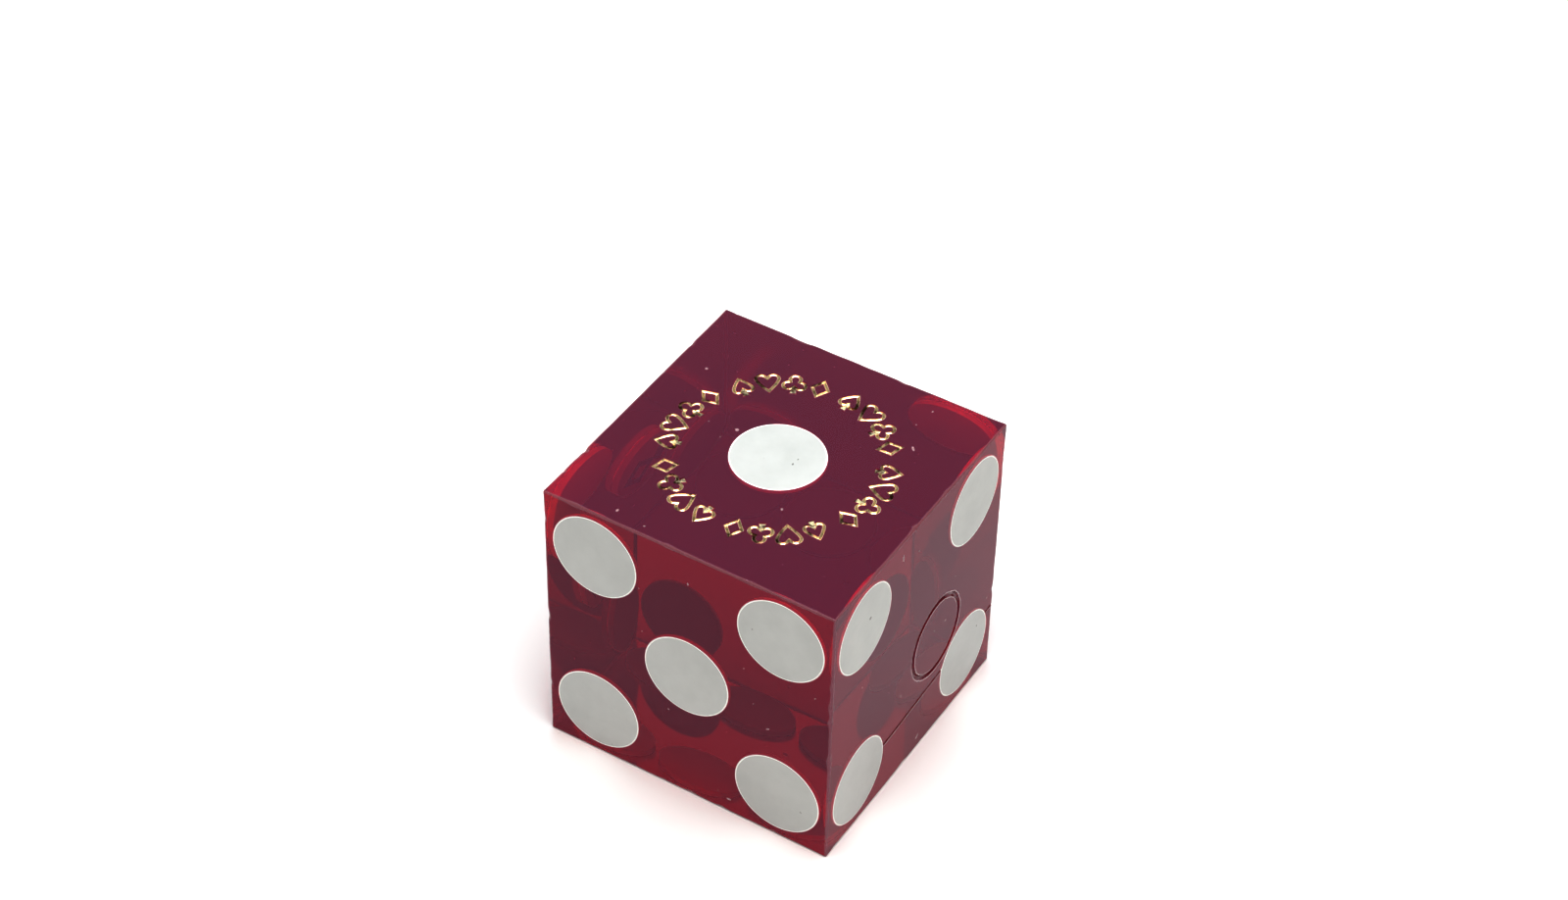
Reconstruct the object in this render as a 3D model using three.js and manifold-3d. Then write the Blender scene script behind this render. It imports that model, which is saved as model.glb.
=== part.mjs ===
// A translucent red casino die, in millimetres, +Z up, resting on its six with the one on top.
// The cube is one block of cellulose acetate. Twenty-one flat-bottomed pockets are drilled in it and
// filled flush with white pips. Gold foil card suits are pressed in a ring round the single pip, a
// key mark is printed on the back of the three's middle pip, and the four's face carries the circle
// and the scratch that a casino makes to retire a die.
import * as THREE from 'three';
import { RoundedBoxGeometry } from 'three/addons/geometries/RoundedBoxGeometry.js';
import { mergeVertices, toCreasedNormals } from 'three/addons/utils/BufferGeometryUtils.js';
import Module from 'manifold-3d';

// The cube
const EDGE = 19.05; // three quarters of an inch
const HALF = EDGE / 2;
const EDGE_ROUND = 0.16; // a razor edge, a little worn
const EDGE_ROUND_SEGMENTS = 2;

// The pips
const PIP_RADIUS = 2.83;
const PIP_DEPTH = 0.43;
const PIP_OFFSET = 6.13; // from the middle of a face to the rows and columns beside it
const PIP_SEGMENTS = 48;
const FIT_GAP = 0.01; // between an inlaid piece and the walls and floor round it

// The ring of foil suits
const RING_RADIUS = 6.4; // from the middle of the face to the middle of a suit
const RING_GROUPS = 6; // groups of four suits
const SUIT_STEP = THREE.MathUtils.degToRad(13.8); // from one suit to the next in its group
const SUIT_HEIGHT = 1.66;
const SUIT_STROKE = 0.2;
const SUIT_CURVE_STEPS = 3;
const STEM_TOP = -0.15; // of the height, measured from the middle
const PRESS_DEPTH = 0.13; // how deep the hot stamp goes
const FOIL_THICKNESS = 0.05;

// The key mark, printed on the back of a pip: an open lozenge with a small solid one at its tip
const KEY_OPEN = { place: new THREE.Vector2(0.55, -0.5), width: 3.3, height: 3.0 };
const KEY_SOLID = { place: new THREE.Vector2(-1.6, -0.55), width: 1.5, height: 1.9 };
const KEY_STROKE = 0.55;
const INK_THICKNESS = 0.05;

// The marks that retire the die, on the four's face
const CANCEL_PLACE = new THREE.Vector2(2.44, -1.64);
const CANCEL_RADIUS = 2.65;
const CANCEL_WIDTH = 0.46;
const CANCEL_DEPTH = 0.14;
const CANCEL_SEGMENTS = 56;
const SCRATCH_HEIGHT = -5.5; // at the middle of the face's width
const SCRATCH_TILT = THREE.MathUtils.degToRad(4);
const SCRATCH_WIDTH = 0.3;
const SCRATCH_DEPTH = 0.13;
const SCRATCH_SPANS = [[-4.2, 4.6], [8.4, HALF + 1]]; // the tool skipped over the pip between them

const CLEAR = 1; // how far a cutter stands out of the face that it enters

const ACETATE = { color: 0x9c0f1c, roughness: 0.12, metalness: 0, transparent: true, opacity: 0.8 };
const PIP_WHITE = { color: 0xe9ebe4, roughness: 0.45, metalness: 0 };
const GOLD_FOIL = { color: 0xd8b060, roughness: 0.3, metalness: 1 };
const BLACK_INK = { color: 0x15151a, roughness: 0.6, metalness: 0 };

// Each face's count, the way it looks out, the way that is up on it, and where its pips are, in
// steps of PIP_OFFSET to the right and up as seen from outside. Opposite faces add up to seven.
const CORNERS = [[-1, -1], [1, -1], [-1, 1], [1, 1]];
const FACES = [
  { count: 1, out: [0, 0, 1], up: [0, 1, 0], pips: [[0, 0]] },
  { count: 2, out: [1, 0, 0], up: [0, 0, 1], pips: [[-1, 1], [1, -1]] },
  { count: 3, out: [0, 1, 0], up: [0, 0, 1], pips: [[-1, -1], [0, 0], [1, 1]] },
  { count: 4, out: [0, -1, 0], up: [0, 0, 1], pips: CORNERS },
  { count: 5, out: [-1, 0, 0], up: [0, 0, 1], pips: [...CORNERS, [0, 0]] },
  { count: 6, out: [0, 0, -1], up: [0, 1, 0], pips: [...CORNERS, [-1, 0], [1, 0]] },
];
const KEYED_PIP = 'pip_3_2';

const wasm = await Module();
wasm.setup();

// ---- Solids ----

// A closed geometry as a solid that can be cut.
function toSolid(geometry) {
  const bare = geometry.clone();
  bare.deleteAttribute('normal');
  bare.deleteAttribute('uv');
  const merged = mergeVertices(bare);
  const vertProperties = new Float32Array(merged.attributes.position.array);
  const triVerts = new Uint32Array(merged.index.array);
  return new wasm.Manifold(new wasm.Mesh({ numProp: 3, vertProperties, triVerts }));
}

function toGeometry(solid) {
  const mesh = solid.getMesh();
  const geometry = new THREE.BufferGeometry();
  geometry.setAttribute('position', new THREE.BufferAttribute(mesh.vertProperties, 3));
  geometry.setIndex(new THREE.BufferAttribute(mesh.triVerts, 1));
  return toCreasedNormals(geometry);
}

// A slab of a flat shape, from one level to a higher one.
function slab(shape, bottom, top) {
  const geometry = new THREE.ExtrudeGeometry(shape, { depth: top - bottom, bevelEnabled: false });
  return geometry.translate(0, 0, bottom);
}

// A disc that stands along Z, from one level to a higher one.
function disc(radius, bottom, top) {
  const geometry = new THREE.CylinderGeometry(radius, radius, top - bottom, PIP_SEGMENTS);
  return geometry.rotateX(Math.PI / 2).translate(0, 0, (bottom + top) / 2);
}

// ---- Places ----

// A face's own frame: X to the right, Y up, Z out, and its origin in the middle of the face.
function faceMatrix(face) {
  const out = new THREE.Vector3(...face.out);
  const up = new THREE.Vector3(...face.up);
  const right = new THREE.Vector3().crossVectors(up, out);
  return new THREE.Matrix4().makeBasis(right, up, out).setPosition(out.multiplyScalar(HALF));
}

function pipMatrix([column, row]) {
  return new THREE.Matrix4().makeTranslation(column * PIP_OFFSET, row * PIP_OFFSET, 0);
}

// Where each suit of the ring goes: its top points away from the middle of the face.
function ringPlaces() {
  const places = [];
  for (let group = 0; group < RING_GROUPS; group += 1) {
    SUIT_NAMES.forEach((suit, index) => {
      const groupAngle = (group * 2 * Math.PI) / RING_GROUPS;
      const angle = groupAngle + (index - (SUIT_NAMES.length - 1) / 2) * SUIT_STEP;
      const matrix = new THREE.Matrix4().makeRotationZ(-angle);
      matrix.multiply(new THREE.Matrix4().makeTranslation(0, RING_RADIUS, 0));
      places.push({ suit, number: group + 1, matrix });
    });
  }
  return places;
}

// ---- Suits, drawn one unit high about their middle, counter-clockwise ----

function heartOutline(lobe = 0.25, spread = 0.22) {
  const low = THREE.MathUtils.degToRad(-20); // where a lobe runs on into the side
  const high = Math.acos(-spread / lobe); // where the lobes meet
  const middle = 0.5 - lobe;
  const side = new THREE.Vector2(spread + lobe * Math.cos(low), middle + lobe * Math.sin(low));
  const reach = 0.28; // how far the side's control point is from the lobe, along its tangent
  const bend = new THREE.Vector2(side.x + reach * Math.sin(low), side.y - reach * Math.cos(low));
  const outline = new THREE.Path().moveTo(0, -0.5);
  outline.quadraticCurveTo(bend.x, bend.y, side.x, side.y);
  outline.absarc(spread, middle, lobe, low, high);
  outline.absarc(-spread, middle, lobe, Math.PI - high, Math.PI - low);
  outline.quadraticCurveTo(-bend.x, bend.y, 0, -0.5);
  return outline.getPoints(SUIT_CURVE_STEPS);
}

// A spade's leaf is a smaller heart upside down, lifted off its stem.
function spadeOutline() {
  const size = 0.86;
  const turned = heartOutline().map((point) => new THREE.Vector2(-point.x, -point.y));
  return turned.map((point) => point.multiplyScalar(size).add(new THREE.Vector2(0, (1 - size) / 2)));
}

function clubOutline(lobe = 0.25, spread = 0.21, drop = 0.34) {
  const top = 0.5 - lobe;
  const slope = Math.atan2(drop, spread); // from a side lobe's middle up to the top lobe's
  const upperMeet = Math.acos(Math.hypot(drop, spread) / 2 / lobe);
  const lowerMeet = Math.acos(spread / lobe);
  const outline = new THREE.Path();
  outline.absarc(spread, top - drop, lobe, -Math.PI + lowerMeet, Math.PI - slope - upperMeet);
  outline.absarc(0, top, lobe, upperMeet - slope, Math.PI + slope - upperMeet);
  outline.absarc(-spread, top - drop, lobe, slope + upperMeet, 2 * Math.PI - lowerMeet);
  return outline.getPoints(SUIT_CURVE_STEPS);
}

function lozengeOutline(width = 0.74) {
  return [[0, -0.5], [width / 2, 0], [0, 0.5], [-width / 2, 0]].map((p) => new THREE.Vector2(...p));
}

const SUITS = {
  spade: { outline: spadeOutline(), stem: true },
  heart: { outline: heartOutline(), stem: false },
  club: { outline: clubOutline(), stem: true },
  diamond: { outline: lozengeOutline(), stem: false },
};
const SUIT_NAMES = Object.keys(SUITS);

// An outline moved inward by a distance along its corners' bisectors, or outward by a negative one.
function inset(points, distance) {
  const corners = points.filter((point, i) => point.distanceTo(points.at(i - 1)) > 1e-6);
  const inward = corners.map((point, i) => {
    const along = new THREE.Vector2().subVectors(corners[(i + 1) % corners.length], point).normalize();
    return new THREE.Vector2(-along.y, along.x);
  });
  return corners.map((point, i) => {
    const before = inward.at(i - 1);
    const both = new THREE.Vector2().addVectors(before, inward[i]);
    return both.multiplyScalar(distance / (1 + before.dot(inward[i]))).add(point);
  });
}

// The closed stroke just inside an outline, made fatter all round by a margin.
function strokeShape(outline, stroke, margin) {
  const shape = new THREE.Shape(inset(outline, -margin));
  shape.holes.push(new THREE.Path(inset(outline, stroke + margin)));
  return shape;
}

// A suit's short foot, from inside its leaf's stroke down to the suit's base.
function stemShape(margin) {
  const half = SUIT_STROKE / 2 + margin;
  const top = STEM_TOP * SUIT_HEIGHT + margin;
  const base = -0.5 * SUIT_HEIGHT - margin;
  const shape = new THREE.Shape().moveTo(-half, top).lineTo(-2 * half, base);
  return shape.lineTo(2 * half, base).lineTo(half, top);
}

// A suit as a solid between two levels, made fatter all round by a margin.
function suitSolid(name, bottom, top, margin) {
  const suit = SUITS[name];
  const outline = suit.outline.map((point) => point.clone().multiplyScalar(SUIT_HEIGHT));
  const leaf = toSolid(slab(strokeShape(outline, SUIT_STROKE, margin), bottom, top));
  if (!suit.stem) {
    return leaf;
  }
  return leaf.add(toSolid(slab(stemShape(margin), bottom, top)));
}

// ---- The key mark: two plain lozenges, inked in a shallow seat in the back of a pip ----

function keyOutline({ place, width, height }) {
  return lozengeOutline(width / height).map((point) => point.multiplyScalar(height).add(place));
}

// The mark as a solid between two levels, made fatter all round by a margin.
function keySolid(bottom, top, margin) {
  const open = strokeShape(keyOutline(KEY_OPEN), KEY_STROKE, margin);
  const solid = new THREE.Shape(inset(keyOutline(KEY_SOLID), -margin));
  return toSolid(slab(open, bottom, top)).add(toSolid(slab(solid, bottom, top)));
}

const PIP_BACK = FIT_GAP - PIP_DEPTH;

function keyMarkGeometry() {
  return toGeometry(keySolid(PIP_BACK, PIP_BACK + INK_THICKNESS, 0));
}

function keyedPipGeometry() {
  const seat = keySolid(PIP_BACK - CLEAR, PIP_BACK + INK_THICKNESS + FIT_GAP, FIT_GAP);
  return toGeometry(toSolid(pipGeometry()).subtract(seat));
}

function pipGeometry() {
  return disc(PIP_RADIUS - FIT_GAP, PIP_BACK, 0);
}

// ---- Cutters for the body, each in its face's frame ----

function pocketCutter() {
  return toSolid(disc(PIP_RADIUS, -PIP_DEPTH, CLEAR));
}

// A ring with a flat-bottomed V for its section.
function cancelCutter() {
  const half = CANCEL_WIDTH / 2;
  const floor = CANCEL_WIDTH / 8;
  const section = [
    [-half, CLEAR], [-half, 0], [-floor, -CANCEL_DEPTH], [floor, -CANCEL_DEPTH], [half, 0], [half, CLEAR],
    [-half, CLEAR],
  ].map(([across, level]) => new THREE.Vector2(CANCEL_RADIUS + across, level));
  const ring = new THREE.LatheGeometry(section, CANCEL_SEGMENTS).rotateX(Math.PI / 2);
  return toSolid(ring.translate(CANCEL_PLACE.x, CANCEL_PLACE.y, 0));
}

// One stretch of the scratch: a long V, upright across its run.
function scratchCutter([from, to]) {
  const mouth = (SCRATCH_WIDTH / 2) * (1 + CLEAR / SCRATCH_DEPTH);
  const section = new THREE.Shape();
  section.moveTo(0, -SCRATCH_DEPTH).lineTo(mouth, CLEAR).lineTo(-mouth, CLEAR);
  const run = slab(section, from, to).rotateX(Math.PI / 2).rotateZ(Math.PI / 2);
  return toSolid(run.rotateZ(SCRATCH_TILT).translate(0, SCRATCH_HEIGHT, 0));
}

// ---- The die ----

function bodyGeometry() {
  const cube = new RoundedBoxGeometry(EDGE, EDGE, EDGE, EDGE_ROUND_SEGMENTS, EDGE_ROUND);
  let body = toSolid(cube);
  const cut = (cutter, matrix) => {
    body = body.subtract(cutter.transform(matrix.toArray()));
  };
  for (const face of FACES) {
    for (const place of face.pips) {
      cut(pocketCutter(), faceMatrix(face).multiply(pipMatrix(place)));
    }
  }
  for (const { suit, matrix } of ringPlaces()) {
    cut(suitSolid(suit, -PRESS_DEPTH, CLEAR, FIT_GAP), faceMatrix(FACES[0]).multiply(matrix));
  }
  const fourMatrix = faceMatrix(FACES.find((face) => face.count === 4));
  cut(cancelCutter(), fourMatrix);
  for (const span of SCRATCH_SPANS) {
    cut(scratchCutter(span), fourMatrix);
  }
  return toGeometry(body);
}

function addMesh(parent, name, geometry, finish, matrix = new THREE.Matrix4()) {
  const mesh = new THREE.Mesh(geometry, new THREE.MeshStandardMaterial(finish));
  mesh.name = name;
  mesh.applyMatrix4(matrix);
  parent.add(mesh);
}

function addPips(parent, face) {
  face.pips.forEach((place, index) => {
    const name = `pip_${face.count}_${index + 1}`;
    if (name === KEYED_PIP) {
      addMesh(parent, name, keyedPipGeometry(), PIP_WHITE, pipMatrix(place));
      addMesh(parent, 'key_mark', keyMarkGeometry(), BLACK_INK, pipMatrix(place));
    } else {
      addMesh(parent, name, pipGeometry(), PIP_WHITE, pipMatrix(place));
    }
  });
}

function addFoil(parent) {
  const bottom = FIT_GAP - PRESS_DEPTH;
  for (const { suit, number, matrix } of ringPlaces()) {
    const solid = suitSolid(suit, bottom, bottom + FOIL_THICKNESS, 0);
    addMesh(parent, `foil_${suit}_${number}`, toGeometry(solid), GOLD_FOIL, matrix);
  }
}

const die = new THREE.Group();
die.name = 'casino_die';
die.position.z = HALF;
addMesh(die, 'body', bodyGeometry(), ACETATE);
for (const face of FACES) {
  const side = new THREE.Group();
  side.applyMatrix4(faceMatrix(face));
  addPips(side, face);
  if (face.count === 1) {
    addFoil(side);
  }
  die.add(side);
}

export default die;
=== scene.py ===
"""The looks of a translucent red casino die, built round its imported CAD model.

Lengths are in metres, in the frame of the CAD model. Each face has a frame of its own: X to the right, Y up
and Z out, as it is seen from outside, with its origin in the middle of the face.
"""

import math
import random

import bmesh
import bpy
from mathutils import Matrix, Vector, noise


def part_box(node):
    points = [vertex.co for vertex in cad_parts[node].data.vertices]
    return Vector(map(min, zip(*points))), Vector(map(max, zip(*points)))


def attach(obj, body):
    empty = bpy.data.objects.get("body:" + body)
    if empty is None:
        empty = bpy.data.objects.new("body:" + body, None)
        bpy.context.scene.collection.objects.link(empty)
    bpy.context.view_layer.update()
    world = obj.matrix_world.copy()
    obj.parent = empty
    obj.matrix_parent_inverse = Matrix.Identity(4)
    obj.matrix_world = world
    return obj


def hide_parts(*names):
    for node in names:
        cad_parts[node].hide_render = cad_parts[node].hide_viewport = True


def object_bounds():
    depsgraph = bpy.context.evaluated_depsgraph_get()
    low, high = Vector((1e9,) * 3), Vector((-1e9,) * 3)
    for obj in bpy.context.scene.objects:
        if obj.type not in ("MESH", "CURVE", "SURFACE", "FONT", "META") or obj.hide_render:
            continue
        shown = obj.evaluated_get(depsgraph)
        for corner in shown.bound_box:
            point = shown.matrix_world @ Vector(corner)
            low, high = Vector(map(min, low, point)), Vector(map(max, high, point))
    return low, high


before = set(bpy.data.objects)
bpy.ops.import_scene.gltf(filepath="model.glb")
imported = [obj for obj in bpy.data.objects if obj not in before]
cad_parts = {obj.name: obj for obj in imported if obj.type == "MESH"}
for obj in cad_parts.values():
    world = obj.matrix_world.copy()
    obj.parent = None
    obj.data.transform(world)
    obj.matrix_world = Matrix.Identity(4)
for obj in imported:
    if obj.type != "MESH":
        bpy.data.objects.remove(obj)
cad_low, cad_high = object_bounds()

MM = 0.001
UM = 0.000001

# ---- Sizes that the CAD model gives ----

body_low, body_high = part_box("body")
EDGE = body_high.z - body_low.z
HALF = EDGE / 2
CENTRE = (body_low + body_high) / 2
pip_low, pip_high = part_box("pip_1_1")
FIT_GAP = 10 * UM  # between an inlaid CAD piece and its pocket
POCKET_RADIUS = (pip_high.x - pip_low.x) / 2 + FIT_GAP
POCKET_DEPTH = pip_high.z - pip_low.z + FIT_GAP

# Each face's count, the way it looks out and the way that is up on it.
FACES = {
    1: ((0, 0, 1), (0, 1, 0)),
    2: ((1, 0, 0), (0, 0, 1)),
    3: ((0, 1, 0), (0, 0, 1)),
    4: ((0, -1, 0), (0, 0, 1)),
    5: ((-1, 0, 0), (0, 0, 1)),
    6: ((0, 0, -1), (0, 1, 0)),
}


def face_matrix(count):
    """From a face's own frame to the CAD frame."""
    out, up = (Vector(axis) for axis in FACES[count])
    basis = Matrix((up.cross(out), up, out)).transposed().to_4x4()
    return Matrix.Translation(CENTRE + out * HALF) @ basis


def node_centre(node, count):
    """The middle of a CAD node's box, in the frame of the face that it is on."""
    low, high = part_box(node)
    return face_matrix(count).inverted() @ ((low + high) / 2)


PIP_PLACES = {}
for node_name in sorted(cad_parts):
    if node_name.startswith("pip_"):
        pip_count = int(node_name.split("_")[1])
        PIP_PLACES[node_name] = (pip_count, node_centre(node_name, pip_count).to_2d())

# ---- Sizes that only the looks need ----

EDGE_SEED = 11
EDGE_ROUND = 0.1 * MM
EDGE_REACH = HALF - EDGE_ROUND  # from an edge's middle to where its rounding ends
EDGE_ARC_STEPS = 4
EDGE_RUN_STEPS = 110
WELD = 0.01 * UM  # points of the cube's rounding that are closer than this are one
NICKS_PER_EDGE = 7
NICK_LENGTH = (0.08 * MM, 0.45 * MM)
NICK_DEPTH = (0.25, 1.1)  # the square root of its share of the edge's rounding
EDGE_RUBBING = 0.35  # the rounding's slow change along an edge, as a share of it
RUBBING_RATE = 0.7  # how fast that changes, per millimetre

ROUND_STEPS = 96  # round a pip
WETTED = 10 * UM  # how far an inlaid piece reaches into the acetate, so that no air lies between them
PIP_RIM = 0.05 * MM
# A pip's eased rim: how far in from its side and how high, as shares of PIP_RIM.
PIP_RIM_PROFILE = ((0.9, 0), (0.5, -0.12), (0.15, -0.45), (0, -1))
PIP_COLLAR = 0.11 * MM  # the cement that shows round a pip

STROKE = 0.2 * MM
PRESS_DEPTH = 0.13 * MM
PRESS_CORNER = 0.05 * MM
PRESS_EASE = 0.8  # how far an eased corner reaches over the floor, as a share of its height
FOIL_THICKNESS = 22 * UM
FOIL_LIP = 12 * UM  # how far the foil's upper edge stays below the surface
STEM_SINK = 40 * UM  # how far a stem's flat foil lies below the surface
CURVE_STEPS = 10

CANCEL_PLACE = Vector((2.44 * MM, -1.64 * MM))
CANCEL_RADIUS = 2.65 * MM
CANCEL_WIDTH = 0.46 * MM
CANCEL_DEPTH = 0.14 * MM
CANCEL_STEPS = 180
CANCEL_WOBBLE = 0.03 * MM
CANCEL_SHAKE_RATE = 3  # how fast the hand's shake changes round the circle
CANCEL_CHATTER_RATE = 22  # and how fast the tool's chatter does
CANCEL_WIDTH_CHATTER = 0.14  # the changes of its width and depth, as shares of them
CANCEL_DEPTH_MEAN = 0.9
CANCEL_DEPTH_SHAKE = 0.3
CANCEL_DEPTH_CHATTER = 0.12
SCRATCH_HEIGHT = -5.5 * MM
SCRATCH_TILT = math.radians(4)
SCRATCH_WIDTH = 0.3 * MM
SCRATCH_DEPTH = 0.13 * MM
SCRATCH_SPANS = ((-4.2 * MM, 4.6 * MM), (8.4 * MM, 10.5 * MM))
SCRATCH_STEP = 0.15 * MM
SCRATCH_WOBBLE = 0.05 * MM
SCRATCH_WANDER_RATE = 0.4  # how fast its place changes, per millimetre
SCRATCH_GRIP_RATE = 2.2  # and how fast its width and depth do
SCRATCH_GRIP_MEAN = 0.85  # of its full width and depth
SCRATCH_GRIP_CHANGE = 0.3
SCRATCH_FADE_START = 0.3  # how far along a length its depth starts to fade
SCRATCH_FADE = 0.3

# The key mark's two lozenges: the middle, the width and the height of each.
KEY_OPEN = (Vector((0.55 * MM, -0.5 * MM)), 3.3 * MM, 3.0 * MM)
KEY_SOLID = (Vector((-1.6 * MM, -0.55 * MM)), 1.5 * MM, 1.9 * MM)
KEY_STROKE = 0.55 * MM
INK_THICKNESS = 16 * UM

PIT_SEED = 5
PITS_PER_FACE = 10
PIT_RADIUS = (0.05 * MM, 0.15 * MM)
PIT_SKEW = 3  # the higher it is, the fewer of the pits are large
PIT_MARGIN = 0.6 * MM  # the least distance from a pit to an edge of its face
PIT_SPACING = 0.5 * MM
PIT_ROOM = 0.12 * MM  # bare acetate between a pit and anything else
PIT_OFF_SCRATCH = 3  # how many scratch widths, besides that room, the pits keep from the scratch's middle
PIT_LONG = (0.7, 2.0)  # a pit's length, width and depth, as shares of its radius
PIT_WIDE = (0.6, 1.0)
PIT_DEEP = 0.55
PIT_TILT = 0.3
PIT_RISE = 0.1  # how far the middle of a pit's ball is above the face, as a share of its radius

OVERSHOOT = 0.3 * MM  # how far a cutter stands out of the face that it enters

# ---- Materials ----


def new_material(name):
    """A material with one Principled shader, its node tree and that shader."""
    material = bpy.data.materials.new(name)
    material.use_nodes = True
    tree = material.node_tree
    return material, tree, tree.nodes["Principled BSDF"]


def position(tree):
    """Places on the piece itself, so that a pattern stays on it in every view."""
    return tree.nodes.new("ShaderNodeTexCoord").outputs["Object"]


def noise_of(tree, scale, detail=4.0, roughness=0.6, stretch=None):
    """Noise on the piece. A stretch is a scale for each axis and a turn about each axis."""
    texture = tree.nodes.new("ShaderNodeTexNoise")
    texture.inputs["Scale"].default_value = scale
    texture.inputs["Detail"].default_value = detail
    texture.inputs["Roughness"].default_value = roughness
    where = position(tree)
    if stretch:
        mapping = tree.nodes.new("ShaderNodeMapping")
        mapping.inputs["Scale"].default_value = stretch[0]
        mapping.inputs["Rotation"].default_value = stretch[1]
        tree.links.new(where, mapping.inputs["Vector"])
        where = mapping.outputs["Vector"]
    tree.links.new(where, texture.inputs["Vector"])
    return texture.outputs["Fac"]


def remap(tree, value, from_low, from_high, to_low, to_high):
    """Carries a value from one range to another, and holds it within that."""
    node = tree.nodes.new("ShaderNodeMapRange")
    node.inputs["From Min"].default_value = from_low
    node.inputs["From Max"].default_value = from_high
    node.inputs["To Min"].default_value = to_low
    node.inputs["To Max"].default_value = to_high
    tree.links.new(value, node.inputs["Value"])
    return node.outputs["Result"]


def blend(tree, value, low_colour, high_colour, low_at=0.0, high_at=1.0):
    """A colour that goes from one to another as a value goes from low_at to high_at."""
    ramp = tree.nodes.new("ShaderNodeValToRGB")
    low, high = ramp.color_ramp.elements
    low.position = low_at
    low.color = low_colour
    high.position = high_at
    high.color = high_colour
    tree.links.new(value, ramp.inputs["Fac"])
    return ramp.outputs["Color"]


def add_up(tree, first, second):
    node = tree.nodes.new("ShaderNodeMath")
    node.operation = "ADD"
    tree.links.new(first, node.inputs[0])
    tree.links.new(second, node.inputs[1])
    return node.outputs["Value"]


def bump(tree, shader, height, strength, distance):
    node = tree.nodes.new("ShaderNodeBump")
    node.inputs["Strength"].default_value = strength
    node.inputs["Distance"].default_value = distance
    tree.links.new(height, node.inputs["Height"])
    tree.links.new(node.outputs["Normal"], shader.inputs["Normal"])


SCUFF_DRAW = (1, 60, 60)  # noise drawn out this much along X makes hairlines
SCUFF_CRESTS = (0.66, 0.72)  # only what stands this high in the noise shows


def hairline(tree, scale, angle, tilt):
    """Thin straight scuffs that run one way: noise drawn out along a line, with only its crests kept."""
    drawn = noise_of(tree, scale, detail=2.0, stretch=(SCUFF_DRAW, (tilt, angle * 0.6, angle)))
    return remap(tree, drawn, *SCUFF_CRESTS, 0.0, 1.0)


ACETATE_IOR = 1.49
# A haze is the share of light that passes, and the colour that the rest takes.
CLEAR_HAZE = (0.87, (1.0, 0.055, 0.165, 1.0))
# The grooves' cut finish: a deeper red than the clear acetate, which is painted shade in the grooves.
CUT_AND_SHADE_HAZE = (0.84, (1.0, 0.02, 0.05, 1.0))
# Worn edges: a pale pink haze, partly real wear and partly a painted highlight line along the edges.
WORN_AND_HIGHLIGHT_HAZE = (0.7, (1.0, 0.4, 0.46, 1.0))
BRUISE_AND_HIGHLIGHT_HAZE = (0.4, (0.95, 0.68, 0.7, 1.0))  # acetate whitens where it is dented, and this pale haze also paints the glints on the pits and the light lips of the grooves
ABSORB_DENSITY = 2000.0
ABSORB_COLOUR = (0.967, 0.4, 0.0, 1.0)
ACETATE_SHEEN = (0.66, 0.53, 0.95, 1.0)  # a slight violet cast in what its surface reflects


def acetate(name, low_roughness, high_roughness, bump_strength, haze):
    """Clear red acetate: what passes through it is dyed by the length of its way."""
    material, tree, shader = new_material(name)
    clarity, haze_colour = haze
    shader.inputs["Base Color"].default_value = haze_colour
    shader.inputs["Transmission Weight"].default_value = clarity
    shader.inputs["IOR"].default_value = ACETATE_IOR
    shader.inputs["Specular Tint"].default_value = ACETATE_SHEEN
    cloud = noise_of(tree, 900.0, detail=2.5)
    scuffs = add_up(tree, hairline(tree, 420.0, 0.5, 0.3), hairline(tree, 380.0, 2.2, 1.9))
    wear = add_up(tree, cloud, scuffs)
    roughness = remap(tree, wear, 0.35, 1.4, low_roughness, high_roughness)
    tree.links.new(roughness, shader.inputs["Roughness"])
    bump(tree, shader, cloud, bump_strength, 4 * UM)
    absorb = tree.nodes.new("ShaderNodeVolumeAbsorption")
    absorb.inputs["Color"].default_value = ABSORB_COLOUR
    absorb.inputs["Density"].default_value = ABSORB_DENSITY
    tree.links.new(absorb.outputs["Volume"], tree.nodes["Material Output"].inputs["Volume"])
    return material


SPECK_PEAKS = (0.83, 0.86)  # only the rare peaks of the noise are specks of dirt


def pip_white():
    """Opaque white acetate, sanded flush: satin, with faint mottling and a few scuffs."""
    material, tree, shader = new_material("pip_white")
    mottle = noise_of(tree, 350.0, detail=5.0)
    clean = blend(tree, mottle, (0.60, 0.61, 0.595, 1), (0.65, 0.66, 0.645, 1), 0.3, 0.62)
    specks = remap(tree, noise_of(tree, 2400.0, detail=0.0), *SPECK_PEAKS, 0.0, 0.6)
    dirty = tree.nodes.new("ShaderNodeMixRGB")
    dirty.inputs["Color2"].default_value = (0.12, 0.09, 0.08, 1)
    tree.links.new(specks, dirty.inputs["Fac"])
    tree.links.new(clean, dirty.inputs["Color1"])
    tree.links.new(dirty.outputs["Color"], shader.inputs["Base Color"])
    grain = noise_of(tree, 2600.0, detail=4.0)
    sanding = add_up(tree, grain, hairline(tree, 500.0, 0.9, 0.4))
    tree.links.new(remap(tree, sanding, 0.3, 1.5, 0.3, 0.55), shader.inputs["Roughness"])
    bump(tree, shader, sanding, 0.25, 6 * UM)
    shader.inputs["IOR"].default_value = ACETATE_IOR
    return material


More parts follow.
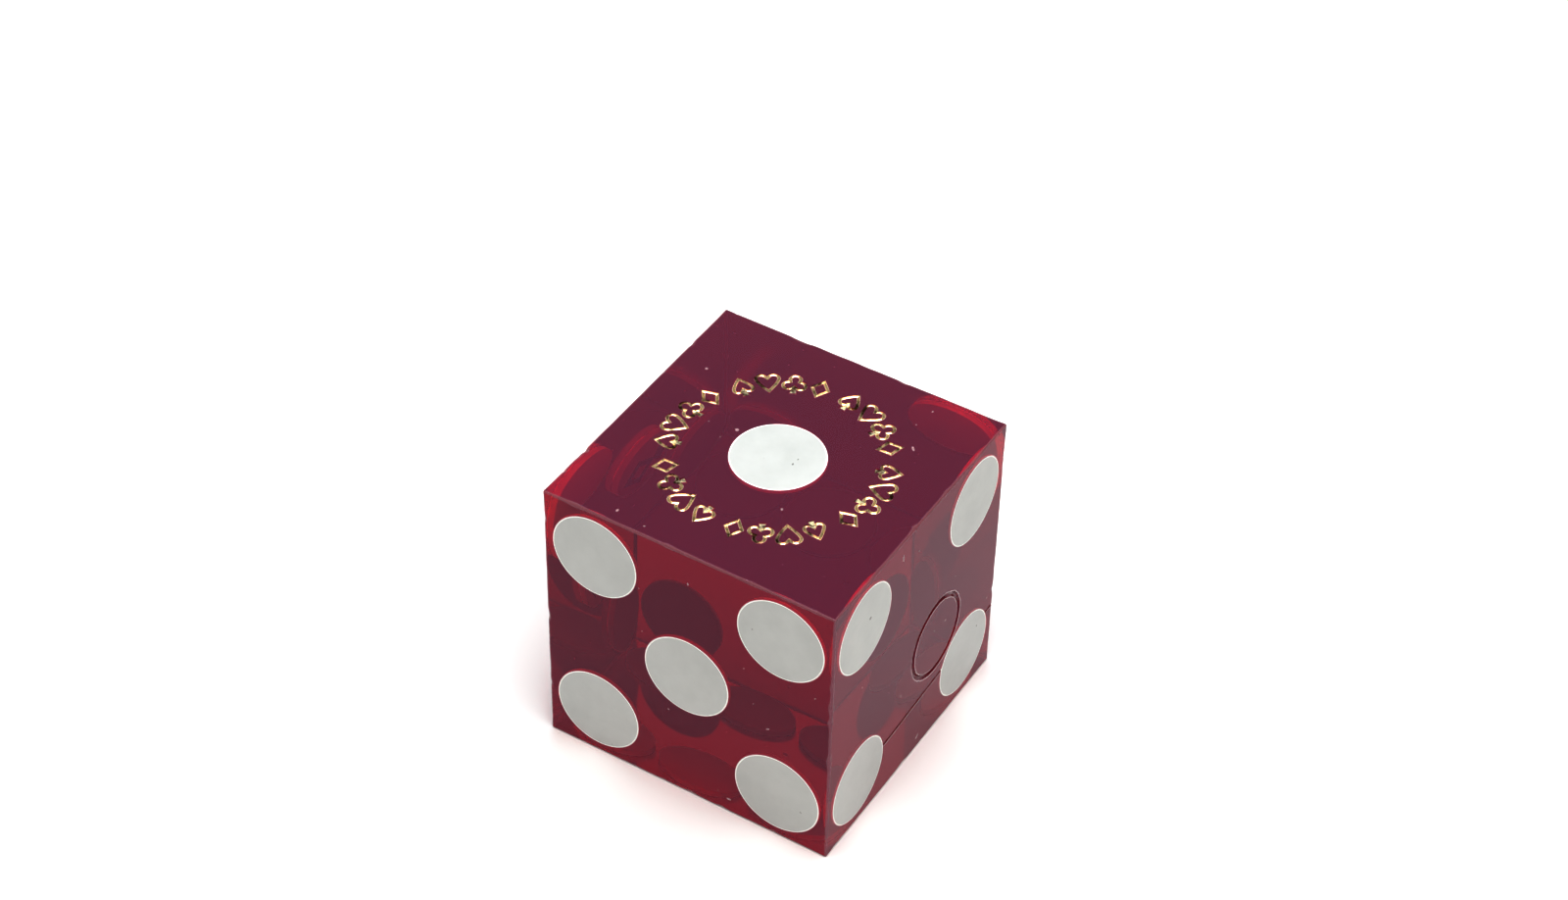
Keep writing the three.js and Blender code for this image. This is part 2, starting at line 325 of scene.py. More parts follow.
def pip_back_painted_bright():
    """The cement that a pip is set in, which shows as a collar round its face and covers its sides and back:
    a brighter white than the face, which paints extra light onto the pip backs seen through the die.
    """
    material, tree, shader = new_material("pip_back_painted_bright")
    mottle = noise_of(tree, 500.0, detail=5.0)
    # A brighter white than the pip's face: painted light on the pip backs seen through the die.
    colour = blend(tree, mottle, (0.93, 0.93, 0.91, 1), (0.99, 0.99, 0.97, 1))
    tree.links.new(colour, shader.inputs["Base Color"])
    tree.links.new(remap(tree, mottle, 0.3, 0.7, 0.6, 0.8), shader.inputs["Roughness"])
    bump(tree, shader, mottle, 0.3, 8 * UM)
    return material


def gold_foil():
    """Stamped foil: bright gold, crinkled, dulled to brown where it has worn through."""
    material, tree, shader = new_material("gold_foil")
    shader.inputs["Metallic"].default_value = 1.0
    patch = noise_of(tree, 900.0, detail=6.0, roughness=0.7)
    colour = blend(tree, patch, (0.12, 0.05, 0.025, 1), (1.0, 0.83, 0.53, 1), 0.4, 0.53)
    tree.links.new(colour, shader.inputs["Base Color"])
    tree.links.new(remap(tree, patch, 0.3, 0.7, 0.5, 0.16), shader.inputs["Roughness"])
    crinkle = noise_of(tree, 5200.0, detail=3.0)
    bump(tree, shader, crinkle, 0.7, 25 * UM)
    return material


def black_ink():
    """Printed ink, a little thin in places."""
    material, tree, shader = new_material("black_ink")
    print_grain = noise_of(tree, 1800.0, detail=5.0)
    colour = blend(tree, print_grain, (0.006, 0.007, 0.012, 1), (0.03, 0.035, 0.05, 1))
    tree.links.new(colour, shader.inputs["Base Color"])
    tree.links.new(remap(tree, print_grain, 0.3, 0.7, 0.5, 0.7), shader.inputs["Roughness"])
    bump(tree, shader, print_grain, 0.3, 5 * UM)
    return material


def floor_white():
    """Plain pale paper."""
    material, tree, shader = new_material("floor_white")
    shader.inputs["Base Color"].default_value = (0.9, 0.9, 0.9, 1)
    shader.inputs["Roughness"].default_value = 0.7
    shader.inputs["Specular IOR Level"].default_value = 0.1
    return material


# ---- Mesh helpers ----


SMOOTH_ANGLE = math.radians(32)


def finish_mesh(name, mesh, materials):
    """Makes an object of a bmesh, its faces pointing out, smooth but for its real corners."""
    bmesh.ops.recalc_face_normals(mesh, faces=mesh.faces)
    data = bpy.data.meshes.new(name)
    mesh.to_mesh(data)
    mesh.free()
    data.shade_smooth()
    data.set_sharp_from_angle(angle=SMOOTH_ANGLE)
    for material in materials:
        data.materials.append(material)
    piece = bpy.data.objects.new(name, data)
    bpy.context.scene.collection.objects.link(piece)
    return piece


def show(piece, slot, *nodes):
    """The piece moves with the die and stands for these CAD nodes."""
    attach(piece, "root")
    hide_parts(*nodes)


def bridge(mesh, loops, closed=True, material=0):
    """Skins neighbouring rings of points, all equally long. If closed, the last ring meets the first."""
    pairs = list(zip(loops, loops[1:] + loops[:1]))
    for near, far in pairs if closed else pairs[:-1]:
        for i in range(len(near)):
            j = (i + 1) % len(near)
            face = mesh.faces.new((near[i], near[j], far[j], far[i]))
            face.material_index = material


def cap(mesh, loop, material=0):
    mesh.faces.new(loop).material_index = material


def circle(mesh, matrix, centre, radius, level, steps=ROUND_STEPS):
    """A ring of points at a level above a face."""
    ring = []
    for i in range(steps):
        turn = 2 * math.pi * i / steps
        across = centre.x + radius * math.cos(turn)
        up = centre.y + radius * math.sin(turn)
        ring.append(mesh.verts.new(matrix @ Vector((across, up, level))))
    return ring


POLISHED, CUT_AND_SHADED, BRUISED_AND_HIGHLIT, WORN_AND_HIGHLIT = range(4)  # the body's finishes, in the order of FINISHES
# Each finish's name, least and greatest roughness, bump and haze.
FINISHES = (
    ("acetate", 0.01, 0.05, 0.08, CLEAR_HAZE),
    ("acetate_cut_shaded", 0.04, 0.2, 0.3, CUT_AND_SHADE_HAZE),
    ("acetate_bruised_highlit", 0.25, 0.5, 0.6, BRUISE_AND_HIGHLIGHT_HAZE),
    ("acetate_worn_highlit", 0.15, 0.4, 0.4, WORN_AND_HIGHLIGHT_HAZE),
)


# ---- The worn cube ----


def edge_wear(rng):
    """How many times its least an edge's rounding is, at a distance along the edge from its middle."""
    nicks = [
        (rng.uniform(-EDGE_REACH, EDGE_REACH), rng.uniform(*NICK_LENGTH), rng.uniform(*NICK_DEPTH) ** 2)
        for _ in range(NICKS_PER_EDGE)
    ]
    phase = rng.uniform(0, 100)

    def wear(along):
        hits = sum(depth * math.exp(-(((along - place) / length) ** 2)) for place, length, depth in nicks)
        rubbing = EDGE_RUBBING * (1 + noise.noise(Vector((along / MM * RUBBING_RATE + phase, 0, 0))))
        ends = min(1, (EDGE_REACH - abs(along)) / MM)
        return 1 + (hits + rubbing) * ends

    return wear


def edge_points(axis, signs, along, radius):
    """The points across an edge's rounding, from one flat face to the other. The edge runs along an axis."""
    points = []
    for i in range(EDGE_ARC_STEPS + 1):
        turn = math.pi / 2 * i / EDGE_ARC_STEPS
        point = Vector((0, 0, 0))
        point[axis] = along
        point[(axis + 1) % 3] = signs[0] * (HALF - radius * (1 - math.cos(turn)))
        point[(axis + 2) % 3] = signs[1] * (HALF - radius * (1 - math.sin(turn)))
        points.append(point)
    return points


def round_edge(mesh, vertex, axis, signs, wear):
    """One edge's rounding. Returns its rows of vertices, from the edge's low end to its high end."""
    rows = []
    for i in range(EDGE_RUN_STEPS + 1):
        along = EDGE_REACH * (2 * i / EDGE_RUN_STEPS - 1)
        points = edge_points(axis, signs, along, EDGE_ROUND * wear(along))
        rows.append([vertex(point) for point in points])
    for near, far in zip(rows, rows[1:]):
        for j in range(EDGE_ARC_STEPS):
            face = mesh.faces.new((near[j], far[j], far[j + 1], near[j + 1]))
            # The rounding takes the worn finish, whose pale haze also paints a highlight along the edge.
            face.material_index = WORN_AND_HIGHLIT
    return rows


def round_corner(mesh, corner, ring):
    """A fan from a corner's tip to the ends of the three edges that meet there."""
    tip = Vector(corner) * (HALF - EDGE_ROUND * (1 - 1 / math.sqrt(3)))
    turned = Vector(corner).rotation_difference(Vector((0, 0, 1)))
    flat = {v: turned @ (v.co - tip) for v in ring}
    around = sorted(ring, key=lambda v: math.atan2(flat[v].y, flat[v].x))
    centre = mesh.verts.new(tip)
    for near, far in zip(around, around[1:] + around[:1]):
        mesh.faces.new((near, far, centre)).material_index = WORN_AND_HIGHLIT


def worn_cube():
    """A cube whose edges are rounded by a radius that wanders, and grows where they are nicked."""
    mesh = bmesh.new()
    made = {}

    def vertex(point):
        key = tuple(round(value / WELD) for value in point)
        if key not in made:
            made[key] = mesh.verts.new(point)
        return made[key]

    rng = random.Random(EDGE_SEED)
    corners = {}
    borders = {}
    for axis in range(3):
        side, other = (axis + 1) % 3, (axis + 2) % 3
        for signs in ((-1, -1), (-1, 1), (1, -1), (1, 1)):
            rows = round_edge(mesh, vertex, axis, signs, edge_wear(rng))
            for row, end in ((rows[0], -1), (rows[-1], 1)):
                corner = [0, 0, 0]
                corner[axis], corner[side], corner[other] = end, *signs
                corners.setdefault(tuple(corner), set()).update(row)
            borders.setdefault((side, signs[0]), set()).update(row[0] for row in rows)
            borders.setdefault((other, signs[1]), set()).update(row[-1] for row in rows)
    for (axis, _), ring in borders.items():
        across, up = (axis + 1) % 3, (axis + 2) % 3
        mesh.faces.new(sorted(ring, key=lambda v: math.atan2(v.co[up], v.co[across])))
    for corner, ring in corners.items():
        round_corner(mesh, corner, ring)
    bmesh.ops.translate(mesh, verts=mesh.verts, vec=CENTRE)
    return mesh


# ---- Suits ----

# Each function gives the right half of an outline, from the bottom to the top. A suit is one unit high about
# its middle, with its stem if it has one.


def arc(centre, radius, start, end):
    turns = (start + (end - start) * i / CURVE_STEPS for i in range(CURVE_STEPS + 1))
    return [Vector((centre[0] + radius * math.cos(a), centre[1] + radius * math.sin(a))) for a in turns]


def bend(start, control, end):
    points = []
    for i in range(CURVE_STEPS + 1):
        t = i / CURVE_STEPS
        points.append((1 - t) ** 2 * Vector(start) + 2 * t * (1 - t) * Vector(control) + t * t * Vector(end))
    return points


def heart(lobe=0.25, spread=0.22, reach=0.28):
    low = math.radians(-20)
    middle = 0.5 - lobe
    side = Vector((spread + lobe * math.cos(low), middle + lobe * math.sin(low)))
    control = Vector((side.x + reach * math.sin(low), side.y - reach * math.cos(low)))
    return bend((0, -0.5), control, side) + arc((spread, middle), lobe, low, math.acos(-spread / lobe))


def spade(size=0.86):
    return [Vector((p.x, -p.y)) * size + Vector((0, (1 - size) / 2)) for p in reversed(heart())]


def club(lobe=0.25, spread=0.21, drop=0.34):
    top = 0.5 - lobe
    slope = math.atan2(drop, spread)
    upper = math.acos(math.hypot(drop, spread) / 2 / lobe)
    lower = math.acos(spread / lobe)
    leaf = arc((spread, top - drop), lobe, -math.pi + lower, math.pi - slope - upper)
    return leaf + arc((0, top), lobe, upper - slope, math.pi / 2)


def lozenge(width=0.74):
    return [Vector(p) for p in ((0, -0.5), (width / 2, 0), (0, 0.5))]


# Each suit's half outline, and whether it has a stem.
SUITS = {"spade": (spade, True), "heart": (heart, False), "club": (club, True), "diamond": (lozenge, False)}
STEM_TOP = -0.15  # of a suit's height, from its middle
STEM_FLARE = 2  # how many times as wide a stem's foot is as its top


def mirrored(points):
    return [Vector((-p.x, p.y)) for p in reversed(points)]


def onto_axis(points):
    """A half outline whose start has slipped over the axis starts, instead, where it crosses the axis."""
    first = next(i for i, p in enumerate(points) if p.x > 0)
    before, after = points[first - 1], points[first]
    crossing = before.lerp(after, before.x / (before.x - after.x))
    return [crossing] * first + points[first:]


def inset(half, distance):
    """A whole outline moved inward along its corners' bisectors, or outward by a negative distance."""
    points = half + mirrored(half)[1:-1]
    count = len(points)
    inward = []
    for i in range(count):
        along = (points[(i + 1) % count] - points[i]).normalized()
        inward.append(Vector((-along.y, along.x)))
    moved = []
    for i, point in enumerate(half):
        before, after = inward[i - 1], inward[i]
        moved.append(point + (before + after) * (distance / (1 + before.dot(after))))
    moved = onto_axis(moved)
    moved = onto_axis(moved[::-1])[::-1]
    return moved + mirrored(moved)[1:-1]


def points_on_one(node):
    """A CAD node's points, in the frame of the one's face."""
    to_face = face_matrix(1).inverted()
    return [(to_face @ v.co).to_2d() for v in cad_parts[node].data.vertices]


def mean(points):
    return sum(points, Vector((0, 0))) / len(points)


def suit_frame():
    """The ring's radius and a suit's height, measured on a diamond, which is even about its middle."""
    points = points_on_one("foil_diamond_1")
    middle = mean(points)
    outward = middle.normalized()
    spans = [p.dot(outward) for p in points]
    return middle.length, max(spans) - min(spans)


RING_RADIUS, SUIT_HEIGHT = suit_frame()


def suit_matrix(node):
    """From a suit's own frame to the CAD frame. Its top points away from the middle of the face."""
    middle = mean(points_on_one(node))
    turn = Matrix.Rotation(math.atan2(-middle.x, middle.y), 4, "Z")
    return face_matrix(1) @ turn @ Matrix.Translation((0, RING_RADIUS, 0))


def half_outline(suit):
    """A suit's half outline at its real size, each point once and its ends on the axis."""
    points = [p * SUIT_HEIGHT for p in SUITS[suit][0]()]
    points[0].x = points[-1].x = 0
    return [p for i, p in enumerate(points) if i == 0 or (p - points[i - 1]).length > UM]


def sweep(mesh, matrix, half, section, material=0):
    """A closed section carried round an outline. Its points are (how far inside the outline, level)."""
    loops = []
    for across, level in section:
        loops.append([mesh.verts.new(matrix @ Vector((p.x, p.y, level))) for p in inset(half, across)])
    bridge(mesh, loops, material=material)
    bmesh.ops.remove_doubles(mesh, verts=[v for loop in loops for v in loop], dist=0.1 * UM)


def prism(mesh, matrix, points, bottom, top, material=0):
    """A slab of an outline between two levels."""
    low = [mesh.verts.new(matrix @ Vector((p.x, p.y, bottom))) for p in points]
    high = [mesh.verts.new(matrix @ Vector((p.x, p.y, top))) for p in points]
    bridge(mesh, [low, high], closed=False, material=material)
    cap(mesh, low[::-1], material)
    cap(mesh, high, material)


def stem_points(margin):
    half = STROKE / 2 + margin
    top = STEM_TOP * SUIT_HEIGHT + margin
    base = -0.5 * SUIT_HEIGHT - margin
    foot = STEM_FLARE * half
    return [Vector(p) for p in ((-half, top), (-foot, base), (foot, base), (half, top))]


# ---- Cutters ----


def pocket_cutters(mesh):
    for count, place in PIP_PLACES.values():
        matrix = face_matrix(count)
        low = circle(mesh, matrix, place, POCKET_RADIUS, -POCKET_DEPTH)
        high = circle(mesh, matrix, place, POCKET_RADIUS, OVERSHOOT)
        bridge(mesh, [low, high], closed=False)
        cap(mesh, low[::-1])
        cap(mesh, high)


def press_section(margin, top):
    """The stamp's section: upright sides and a floor with eased corners."""
    floor = -PRESS_DEPTH - margin
    shoulder = floor + PRESS_CORNER
    near, far = -margin, STROKE + margin
    inner = PRESS_CORNER * PRESS_EASE
    left = [(near, top), (near, shoulder), (near + inner, floor)]
    right = [(far - inner, floor), (far, shoulder), (far, top)]
    return left + right


def foil_names():
    return [name for name in sorted(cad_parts) if name.startswith("foil_")]


def suit_cutters(leaves, stems):
    for node in foil_names():
        suit = node.split("_")[1]
        matrix = suit_matrix(node)
        sweep(leaves, matrix, half_outline(suit), press_section(0, OVERSHOOT))
        if SUITS[suit][1]:
            prism(stems, matrix, stem_points(0), -PRESS_DEPTH, OVERSHOOT)


# A groove's section: how far across it, as a share of its width, and how deep, as a share of its depth.
GROOVE = ((-0.5, 0), (-0.36, -0.12), (-0.14, -1), (0.14, -1), (0.36, -0.12), (0.5, 0))
GROOVE_LIPS = (0, 4)  # the section's sides that are bruised and painted pale as a highlight


def groove_section(mesh, matrix, place, across, width, depth):
    """A flat floor, steep walls and eased lips, closed well above the face."""
    corners = [(share * width, level * depth) for share, level in GROOVE]
    corners += [(width / 2, OVERSHOOT), (-width / 2, OVERSHOOT)]
    section = []
    for offset, level in corners:
        where = place + across * offset
        section.append(mesh.verts.new(matrix @ Vector((where.x, where.y, level))))
    return section


# The lips take the bruised finish, whose pale haze also paints a highlight along them.
def bruise_and_highlight_lips(mesh, sections):
    for near, far in zip(sections, sections[1:]):
        for i in GROOVE_LIPS:
            mesh.faces.get((near[i], near[i + 1], far[i + 1], far[i])).material_index = BRUISED_AND_HIGHLIT


def pattern(place, layer):
    """Smooth noise from -1 to 1. Each layer is a pattern of its own."""
    return noise.noise(Vector((place.x, place.y, layer)))


def cancel_cutter(mesh):
    """The casino's circle, turned by hand: its radius and depth wander a little."""
    matrix = face_matrix(4)
    sections = []
    for i in range(CANCEL_STEPS):
        angle = 2 * math.pi * i / CANCEL_STEPS
        around = Vector((math.cos(angle), math.sin(angle)))
        shake = pattern(around * CANCEL_SHAKE_RATE, 5.0)
        chatter = pattern(around * CANCEL_CHATTER_RATE, 9.0)
        place = CANCEL_PLACE + around * (CANCEL_RADIUS + CANCEL_WOBBLE * shake)
        width = CANCEL_WIDTH * (1 + CANCEL_WIDTH_CHATTER * chatter)
        share = CANCEL_DEPTH_MEAN + CANCEL_DEPTH_SHAKE * shake + CANCEL_DEPTH_CHATTER * chatter
        depth = CANCEL_DEPTH * share
        sections.append(groove_section(mesh, matrix, place, around, width, depth))
    # The groove takes the cut finish, whose deeper red paints shade into it.
    bridge(mesh, sections, material=CUT_AND_SHADED)
    bruise_and_highlight_lips(mesh, sections + sections[:1])


def scratch_height(along):
    return SCRATCH_HEIGHT + along * math.tan(SCRATCH_TILT)


def scratch_cutters(mesh):
    """The long scratch, shallower towards its right end. It skips over the pip there."""
    matrix = face_matrix(4)
    for start, end in SCRATCH_SPANS:
        steps = max(4, round((end - start) / SCRATCH_STEP))
        sections = []
        for i in range(steps + 1):
            along = start + (end - start) * i / steps
            wander = pattern(Vector((along / MM * SCRATCH_WANDER_RATE, 3.0)), 1.0)
            hold = pattern(Vector((along / MM * SCRATCH_GRIP_RATE, 8.0)), 2.0)
            grip = SCRATCH_GRIP_MEAN + SCRATCH_GRIP_CHANGE * hold
            depth = SCRATCH_DEPTH * grip * (1.0 - SCRATCH_FADE * max(0, i / steps - SCRATCH_FADE_START))
            place = Vector((along, scratch_height(along) + wander * SCRATCH_WOBBLE))
            sections.append(groove_section(mesh, matrix, place, Vector((0, 1)), SCRATCH_WIDTH * grip, depth))
        # The scratch takes the cut finish, whose deeper red paints shade into it.
        bridge(mesh, sections, closed=False, material=CUT_AND_SHADED)
        bruise_and_highlight_lips(mesh, sections)
        cap(mesh, sections[0], CUT_AND_SHADED)
        cap(mesh, sections[-1][::-1], CUT_AND_SHADED)


def free_for_pit(count, place, radius):
    """True where a pit is on bare acetate, clear of the pips, the foil, the circle and the scratch."""
    room = radius + PIT_ROOM
    pips = (p for c, p in PIP_PLACES.values() if c == count)
    if any((place - p).length < POCKET_RADIUS + room for p in pips):
        return False
    if count == 1 and abs(place.length - RING_RADIUS) < SUIT_HEIGHT / 2 + room:
        return False
    if count == 4:
        on_circle = abs((place - CANCEL_PLACE).length - CANCEL_RADIUS) < CANCEL_WIDTH + room
        on_scratch = abs(place.y - scratch_height(place.x)) <= SCRATCH_WIDTH * PIT_OFF_SCRATCH + room
        return not on_circle and not on_scratch
    return True


def pit_cutters(mesh):
    """Small dents from play, each a squashed and tilted ball let into the surface."""
    rng = random.Random(PIT_SEED)
    used = []
    limit = HALF - PIT_MARGIN
    for count in FACES:
        made = 0
        while made < PITS_PER_FACE:
            radius = PIT_RADIUS[0] + (PIT_RADIUS[1] - PIT_RADIUS[0]) * rng.random() ** PIT_SKEW
            place = Vector((rng.uniform(-limit, limit), rng.uniform(-limit, limit)))
            near = any(c == count and (place - p).length < PIT_SPACING for c, p in used)
            if near or not free_for_pit(count, place, radius * PIT_LONG[1]):
                continue
            used.append((count, place))
            made += 1
            stretch = Matrix.Diagonal((rng.uniform(*PIT_LONG), rng.uniform(*PIT_WIDE), PIT_DEEP, 1))
            spin = Matrix.Rotation(rng.uniform(0, math.tau), 4, "Z")
            tilt = Matrix.Rotation(rng.uniform(-PIT_TILT, PIT_TILT), 4, "X")
            where = face_matrix(count) @ Matrix.Translation((place.x, place.y, radius * PIT_RISE))
            shape = where @ (spin @ tilt) @ stretch
            ball = bmesh.ops.create_icosphere(mesh, subdivisions=2, radius=radius, matrix=shape)
            for vertex in ball["verts"]:
                # The pits take the bruised finish, whose pale haze also paints their glints.
                for face in vertex.link_faces:
                    face.material_index = BRUISED_AND_HIGHLIT


SQUARE = 0.99999  # a face whose normal is this close to an axis squares with the cube
NEARLY_FLAT = 0.9994  # a corner this close to a flat face's normal would otherwise be averaged with it


def cut_body(piece, cutters):
    """Cuts the body. The rims of the cuts are sharp corners, and its flat faces are shaded flat."""
    for index, cutter in enumerate(cutters):
        modifier = piece.modifiers.new(f"cut_{index}", "BOOLEAN")
        modifier.operation = "DIFFERENCE"
        modifier.solver = "EXACT"
        modifier.material_mode = "INDEX"
        modifier.object = cutter
    apply_modifiers(piece)
    piece.data.set_sharp_from_angle(angle=SMOOTH_ANGLE)
    weighted = piece.modifiers.new("flat_faces_stay_flat", "WEIGHTED_NORMAL")
    weighted.keep_sharp = True
    weighted.weight = 100
    apply_modifiers(piece)
    flatten(piece.data)


def flatten(data):
    """Shades each face that squares with the cube as truly flat, so that nothing seen through it is bent."""
    normals = [corner.vector.copy() for corner in data.corner_normals]
    flat = {}
    for face in data.polygons:
        if max(abs(part) for part in face.normal) > SQUARE:
            for corner in face.loop_indices:
                normals[corner] = face.normal.copy()
                flat.setdefault(data.loops[corner].vertex_index, []).append(normals[corner])
    for corner, loop in enumerate(data.loops):
        for normal in flat.get(loop.vertex_index, ()):
            if normals[corner].dot(normal) > NEARLY_FLAT:
                normals[corner] = normal
    data.normals_split_custom_set(normals)


def apply_modifiers(piece):
    """Makes a piece's mesh what its modifiers make of it."""
    depsgraph = bpy.context.evaluated_depsgraph_get()
    final = bpy.data.meshes.new_from_object(piece.evaluated_get(depsgraph))
    piece.modifiers.clear()
    piece.data = final


def make_body():
    finishes = [acetate(*finish) for finish in FINISHES]
    body = finish_mesh("die_body", worn_cube(), finishes)
    round_cutters = bmesh.new()
    stems = bmesh.new()
    pocket_cutters(round_cutters)
    suit_cutters(round_cutters, stems)
    cancel_cutter(round_cutters)
    pit_cutters(round_cutters)
    scratches = bmesh.new()
    scratch_cutters(scratches)
    cutters = [
        finish_mesh("cutter_rounds", round_cutters, finishes),
        finish_mesh("cutter_stems", stems, finishes),
        finish_mesh("cutter_scratches", scratches, finishes),
    ]
    cut_body(body, cutters)
    for cutter in cutters:
        bpy.data.objects.remove(cutter)
    show(body, "acetate", "body")


# ---- Pips, foil and ink ----


def make_pip(name, white, painted_bright_back):
    """A pip fills its pocket with no air behind it. Its rim is eased a little below the face."""
    count, place = PIP_PLACES[name]
    matrix = face_matrix(count)
    radius = POCKET_RADIUS + WETTED
    profile = [(radius - PIP_COLLAR, 0)]
    profile += [(radius - inward * PIP_RIM, level * PIP_RIM) for inward, level in PIP_RIM_PROFILE]
    profile.append((radius, -POCKET_DEPTH - WETTED))
    mesh = bmesh.new()
    loops = [circle(mesh, matrix, place, r, level) for r, level in profile]
    # The collar, rim, sides and back take the brighter white, which paints light on the pip backs.
    bridge(mesh, loops, closed=False, material=1)
    cap(mesh, loops[0])
    cap(mesh, loops[-1][::-1], 1)
    piece = finish_mesh(f"white_{name}", mesh, [white, painted_bright_back])
    show(piece, "pip_white", name)


def foil_section():
    """Foil lines the stamped groove: outside it is bedded in the acetate, inside it is open."""
    outer = press_section(WETTED, -FOIL_LIP)
    shoulder = -PRESS_DEPTH + FOIL_THICKNESS + PRESS_CORNER
    near, far = FOIL_THICKNESS, STROKE - FOIL_THICKNESS
    middle = STROKE / 2
    floor = -PRESS_DEPTH + FOIL_THICKNESS
    inner = [(far, -FOIL_LIP), (far, shoulder), (middle, floor), (near, shoulder), (near, -FOIL_LIP)]
    return outer + inner


def make_foil(node, material):
    suit = node.split("_")[1]
    matrix = suit_matrix(node)
    mesh = bmesh.new()
    sweep(mesh, matrix, half_outline(suit), foil_section())
    if SUITS[suit][1]:
        prism(mesh, matrix, stem_points(WETTED), -PRESS_DEPTH - WETTED, -STEM_SINK)
    piece = finish_mesh(f"gold_{node}", mesh, [material])
    show(piece, "gold_foil", node)


def key_lozenge(place, width, height):
    """A lozenge's own frame and its half outline."""
    half = [p * height for p in lozenge(width / height)]
    return face_matrix(3) @ Matrix.Translation(place.to_3d()), half


def make_key_mark(material):
    """Two lozenges printed on the back of the three's middle pip, just proud of it."""
    mesh = bmesh.new()
    back = -POCKET_DEPTH - WETTED
    low, high = back - INK_THICKNESS / 2, back + INK_THICKNESS / 2
    film = ((0, low), (KEY_STROKE, low), (KEY_STROKE, high), (0, high))
    matrix, half = key_lozenge(*KEY_OPEN)
    sweep(mesh, matrix, half, film)
    matrix, half = key_lozenge(*KEY_SOLID)
    prism(mesh, matrix, half + mirrored(half)[1:-1], low - UM, high + UM)
    piece = finish_mesh("ink_key_mark", mesh, [material])
    show(piece, "black_ink", "key_mark")


def make_die():
    make_body()
    white, painted_bright_back = pip_white(), pip_back_painted_bright()
    for name in PIP_PLACES:
        make_pip(name, white, painted_bright_back)
    gold = gold_foil()
    for node in foil_names():
        make_foil(node, gold)
    make_key_mark(black_ink())


# ---- Stage ----

FLOOR_SIZE = 3.0
FLOOR_DROP = 5 * UM  # keeps the floor clear of the die's lowest face
# Each soft panel's azimuth, elevation, distance, size, glow and colour.
PANELS = {
    "overhead": (-38, 79, 0.7, (0.62, 0.62), 2.7, (1.0, 0.995, 0.985)),
    "back_panel": (121, 42, 0.8, (0.5, 0.36), 1.1, (0.41, 0.58, 0.74)),
}
ROOM_COLOUR = (1.0, 0.965, 0.92, 1)
ROOM_GLOW = 0.28
CAMERA_AZIMUTH = -59.14  # in degrees
CAMERA_ELEVATION = 43.96
CAMERA_DISTANCE = 10.11 * EDGE
CAMERA_ROLL = math.radians(1.46)
CAMERA_SENSOR = 36  # the sensor's width and the lens are in millimetres, as Blender takes them
CAMERA_LENS = 75.7
CAMERA_AIM = Vector((0.234, 0.119, 0.294)) * EDGE  # from the middle of the die
# The tone curve's points and its white: the light that comes in, and the light that goes out.
TONE_POINTS = ((0.04, 0.022), (0.1, 0.066), (0.4, 0.48), (0.52, 0.84))
TONE_WHITE = (0.575, 1.0)


def make_floor():
    mesh = bmesh.new()
    half = FLOOR_SIZE / 2
    cap(mesh, [mesh.verts.new((x * half, y * half, 0)) for x, y in ((-1, -1), (1, -1), (1, 1), (-1, 1))])
    data = bpy.data.meshes.new("floor")
    mesh.to_mesh(data)
    mesh.free()
    data.materials.append(floor_white())
    floor = bpy.data.objects.new("floor", data)
    bpy.context.scene.collection.objects.link(floor)
    floor.location.z = cad_low.z - FLOOR_DROP


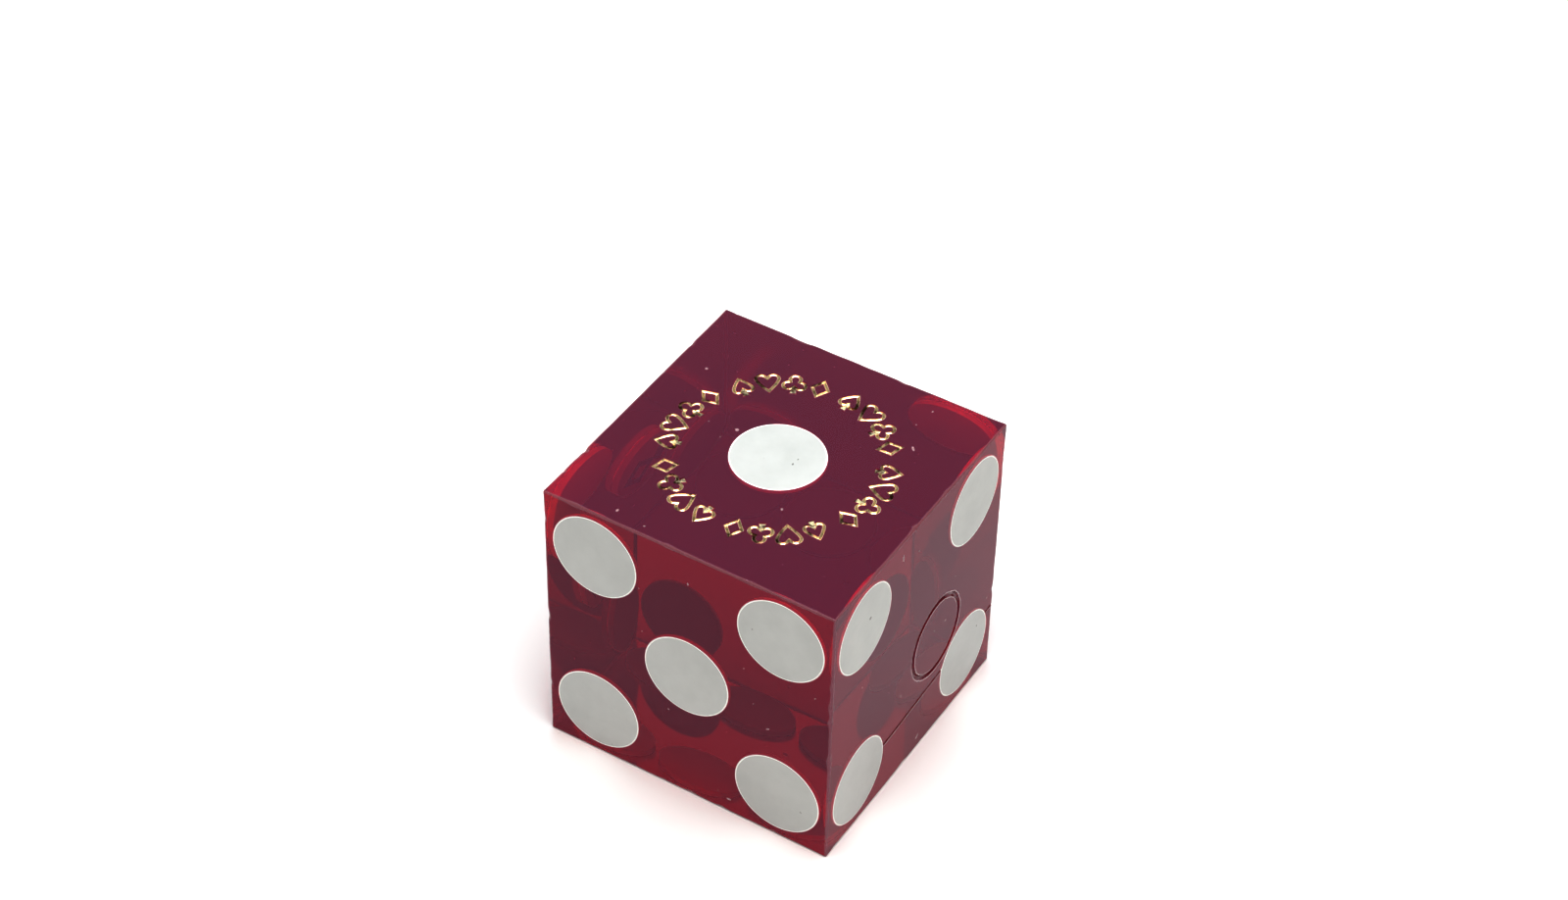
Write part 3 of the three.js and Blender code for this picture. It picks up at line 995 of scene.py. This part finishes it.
def seen_from_die(azimuth, elevation):
    """The way from the die to a place round it: azimuth 0 is the front, and it grows towards the right."""
    a, e = math.radians(azimuth), math.radians(elevation)
    return Vector((math.sin(a) * math.cos(e), -math.cos(a) * math.cos(e), math.sin(e)))


def make_softbox(name, azimuth, elevation, distance, size, glow, colour):
    """A soft light that faces the die. Its glow is how bright it looks."""
    data = bpy.data.lights.new(name, "AREA")
    data.shape = "RECTANGLE"
    data.size, data.size_y = size
    data.energy = glow * math.pi * size[0] * size[1]
    data.color = colour
    light = bpy.data.objects.new(name, data)
    way = seen_from_die(azimuth, elevation)
    light.location = CENTRE + way * distance
    light.rotation_euler = (-way).to_track_quat("-Z", "Y").to_euler()
    bpy.context.scene.collection.objects.link(light)


def make_lights():
    for name, panel in PANELS.items():
        make_softbox(name, *panel)
    world = bpy.data.worlds.new("room")
    world.use_nodes = True
    background = world.node_tree.nodes["Background"]
    background.inputs["Color"].default_value = ROOM_COLOUR
    background.inputs["Strength"].default_value = ROOM_GLOW
    bpy.context.scene.world = world


def make_camera():
    data = bpy.data.cameras.new("camera")
    data.sensor_width = CAMERA_SENSOR
    data.lens = CAMERA_LENS
    data.clip_start = 0.01
    camera = bpy.data.objects.new("camera", data)
    camera.location = CENTRE + seen_from_die(CAMERA_AZIMUTH, CAMERA_ELEVATION) * CAMERA_DISTANCE
    ahead = CENTRE + CAMERA_AIM - camera.location
    turn = ahead.to_track_quat("-Z", "Y") @ Matrix.Rotation(CAMERA_ROLL, 3, "Z").to_quaternion()
    camera.rotation_mode = "QUATERNION"
    camera.rotation_quaternion = turn
    bpy.context.scene.collection.objects.link(camera)
    bpy.context.scene.camera = camera


def set_tone_curve(view):
    """The contrast that a camera gives: deeper shadows, and paper white a little before full exposure."""
    view.view_transform = "Standard"
    view.use_curve_mapping = True
    curve = view.curve_mapping.curves[3]
    for x, y in TONE_POINTS:
        curve.points.new(x, y)
    curve.points[-1].location = TONE_WHITE
    view.curve_mapping.update()


def make_stage():
    make_floor()
    make_lights()
    make_camera()
    scene = bpy.context.scene
    set_tone_curve(scene.view_settings)
    scene.cycles.max_bounces = 24
    scene.cycles.glossy_bounces = 16
    scene.cycles.transmission_bounces = 24


make_stage()
make_die()
